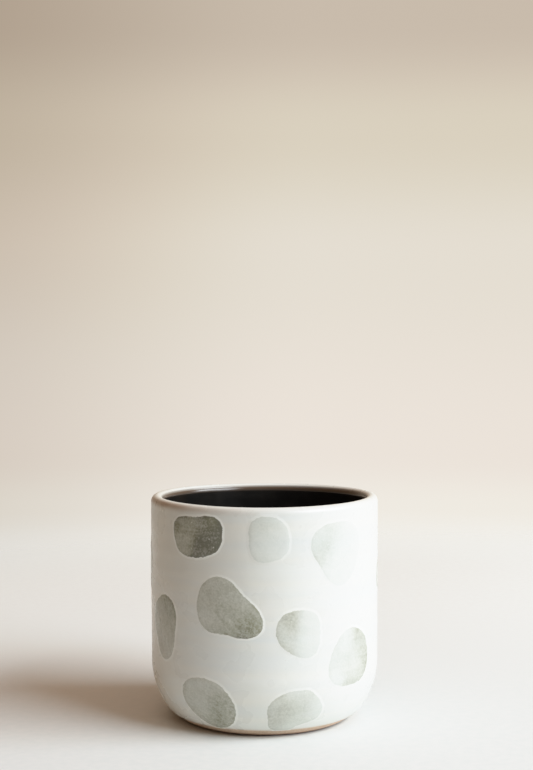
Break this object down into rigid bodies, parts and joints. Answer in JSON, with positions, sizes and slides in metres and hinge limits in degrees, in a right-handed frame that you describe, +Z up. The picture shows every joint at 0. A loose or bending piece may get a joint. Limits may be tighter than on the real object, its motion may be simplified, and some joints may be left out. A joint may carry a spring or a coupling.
{
  "type": "handleless stoneware mug",
  "caption": "Straight-sided stoneware mug without a handle, with a rounded base, white glaze outside, black glaze inside, brushed grey-green spots and a bare clay foot.",
  "frame": {"origin": "on the mug's axis, at the surface it stands on", "axes": "+Z up along the mug's axis, out of its mouth; -Y is the front, the side that the picture shows"},
  "size_m": [0.0826, 0.0825, 0.08],
  "materials": {
    "bare_stoneware": "matte",
    "white_glaze": "satin",
    "black_glaze": "gloss",
    "spot_glaze": "satin"
  },
  "bodies": {
    "root": {"stoneware_body": "bare_stoneware", "outer_white_glaze": "white_glaze", "inner_black_glaze": "black_glaze", "upper_spot_1": "spot_glaze", "upper_spot_2": "spot_glaze", "upper_spot_3": "spot_glaze", "upper_spot_4": "spot_glaze", "upper_spot_5": "spot_glaze", "upper_spot_6": "spot_glaze", "upper_spot_7": "spot_glaze", "upper_spot_8": "spot_glaze", "upper_spot_9": "spot_glaze", "middle_spot_1": "spot_glaze", "middle_spot_2": "spot_glaze", "middle_spot_3": "spot_glaze", "middle_spot_4": "spot_glaze", "middle_spot_5": "spot_glaze", "middle_spot_6": "spot_glaze", "middle_spot_7": "spot_glaze", "middle_spot_8": "spot_glaze", "middle_spot_9": "spot_glaze", "lower_spot_1": "spot_glaze", "lower_spot_2": "spot_glaze", "lower_spot_3": "spot_glaze", "lower_spot_4": "spot_glaze", "lower_spot_5": "spot_glaze", "lower_spot_6": "spot_glaze"}
  },
  "joints": []
}
